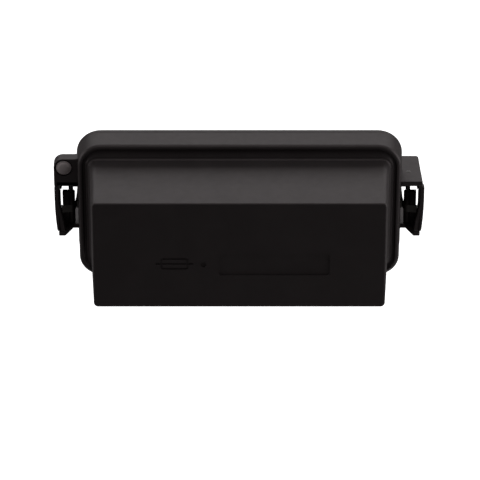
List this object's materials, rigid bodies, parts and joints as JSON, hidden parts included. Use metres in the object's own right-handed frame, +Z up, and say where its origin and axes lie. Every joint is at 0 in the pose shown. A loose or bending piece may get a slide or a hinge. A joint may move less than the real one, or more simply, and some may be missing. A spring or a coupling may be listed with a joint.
{
  "type": "cartridge fuse holder",
  "caption": "Sealed wall-mounted box for cartridge fuses: base with sealed wire entry and fuse block, and a lift-off cover held by a sprung latch at each end.",
  "frame": {"origin": "centre of the mounting face at the back of the base", "axes": "+X along the box, +Z up its height, cover facing -Y and mounting face looking to +Y"},
  "size_m": [0.1838, 0.075, 0.074],
  "materials": {
    "cover_plastic": "black glass-filled nylon, fine moulded texture, satin",
    "base_plastic": "black glass-filled nylon, satin",
    "lever_plastic": "black acetal, satin",
    "button_plastic": "dark grey nylon, satin",
    "inner_plastic": "dark grey nylon",
    "block_plastic": "dark grey polyester",
    "lock_plastic": "red nylon",
    "seal_silicone": "soft silicone, rust red",
    "gasket_silicone": "soft silicone, rust red",
    "brass": "knurled, turned",
    "zinc_steel": "zinc plated",
    "dark_steel": "blackened spring steel",
    "copper": "rolled copper, lightly tarnished",
    "tinned": "tin plated copper alloy",
    "clear_plastic": "clear moulded polycarbonate",
    "fuse_pink": "moulded",
    "fuse_green": "moulded",
    "fuse_red": "moulded",
    "fuse_yellow": "moulded",
    "fuse_blue": "moulded",
    "fuse_brown": "moulded"
  },
  "bodies": {
    "base": {"base_housing": "base_plastic", "mounting_inserts": "brass", "wire_seal_mat": "seal_silicone", "seal_retainer": "inner_plastic", "retainer_screws": "zinc_steel", "terminal_lock": "lock_plastic", "fuse_block": "block_plastic", "input_busbar": "copper", "input_stud": "zinc_steel", "stud_nut": "zinc_steel", "stud_washer": "zinc_steel", "output_terminals": "tinned"},
    "cover": {"cover_shell": "cover_plastic", "cover_gasket": "gasket_silicone", "latch_pins": "dark_steel", "key_button": "button_plastic", "leaf_spring_left": "dark_steel", "leaf_spring_right": "dark_steel"},
    "latch_left": {"latch_lever_left": "lever_plastic"},
    "latch_right": {"latch_lever_right": "lever_plastic"},
    "fuse_1": {"fuse_1_housing": "fuse_pink", "fuse_1_link": "tinned", "fuse_1_window": "clear_plastic"},
    "fuse_2": {"fuse_2_housing": "fuse_green", "fuse_2_link": "tinned", "fuse_2_window": "clear_plastic"},
    "fuse_3": {"fuse_3_housing": "fuse_red", "fuse_3_link": "tinned", "fuse_3_window": "clear_plastic"},
    "fuse_4": {"fuse_4_housing": "fuse_yellow", "fuse_4_link": "tinned", "fuse_4_window": "clear_plastic"},
    "fuse_5": {"fuse_5_housing": "fuse_blue", "fuse_5_link": "tinned", "fuse_5_window": "clear_plastic"},
    "fuse_6": {"fuse_6_housing": "fuse_brown", "fuse_6_link": "tinned", "fuse_6_window": "clear_plastic"},
    "fuse_7": {"fuse_7_housing": "fuse_green", "fuse_7_link": "tinned", "fuse_7_window": "clear_plastic"},
    "fuse_8": {"fuse_8_housing": "fuse_yellow", "fuse_8_link": "tinned", "fuse_8_window": "clear_plastic"}
  },
  "joints": [
    {"name": "cover_lift", "type": "slide", "parent": "base", "child": "cover", "axis": [0, -1, 0], "range_m": [0, 0.07]},
    {"name": "latch_right_turn", "type": "hinge", "parent": "cover", "child": "latch_right", "pos_m": [0.0842, -0.018, 0], "axis": [0, 0, -1], "range_deg": [0, 12.5], "stiffness_Nm_per_rad": 0.5, "deforming": ["leaf_spring_right"]},
    {"name": "latch_left_turn", "type": "hinge", "parent": "cover", "child": "latch_left", "pos_m": [-0.0842, -0.018, 0], "axis": [0, 0, 1], "range_deg": [0, 12.5], "stiffness_Nm_per_rad": 0.5, "deforming": ["leaf_spring_left"]},
    {"name": "fuse_1_pull", "type": "slide", "parent": "base", "child": "fuse_1", "axis": [0, -1, 0], "range_m": [0, 0.0095]},
    {"name": "fuse_2_pull", "type": "slide", "parent": "base", "child": "fuse_2", "axis": [0, -1, 0], "range_m": [0, 0.0095]},
    {"name": "fuse_3_pull", "type": "slide", "parent": "base", "child": "fuse_3", "axis": [0, -1, 0], "range_m": [0, 0.0095]},
    {"name": "fuse_4_pull", "type": "slide", "parent": "base", "child": "fuse_4", "axis": [0, -1, 0], "range_m": [0, 0.0095]},
    {"name": "fuse_5_pull", "type": "slide", "parent": "base", "child": "fuse_5", "axis": [0, -1, 0], "range_m": [0, 0.0095]},
    {"name": "fuse_6_pull", "type": "slide", "parent": "base", "child": "fuse_6", "axis": [0, -1, 0], "range_m": [0, 0.0095]},
    {"name": "fuse_7_pull", "type": "slide", "parent": "base", "child": "fuse_7", "axis": [0, -1, 0], "range_m": [0, 0.0095]},
    {"name": "fuse_8_pull", "type": "slide", "parent": "base", "child": "fuse_8", "axis": [0, -1, 0], "range_m": [0, 0.0095]}
  ]
}
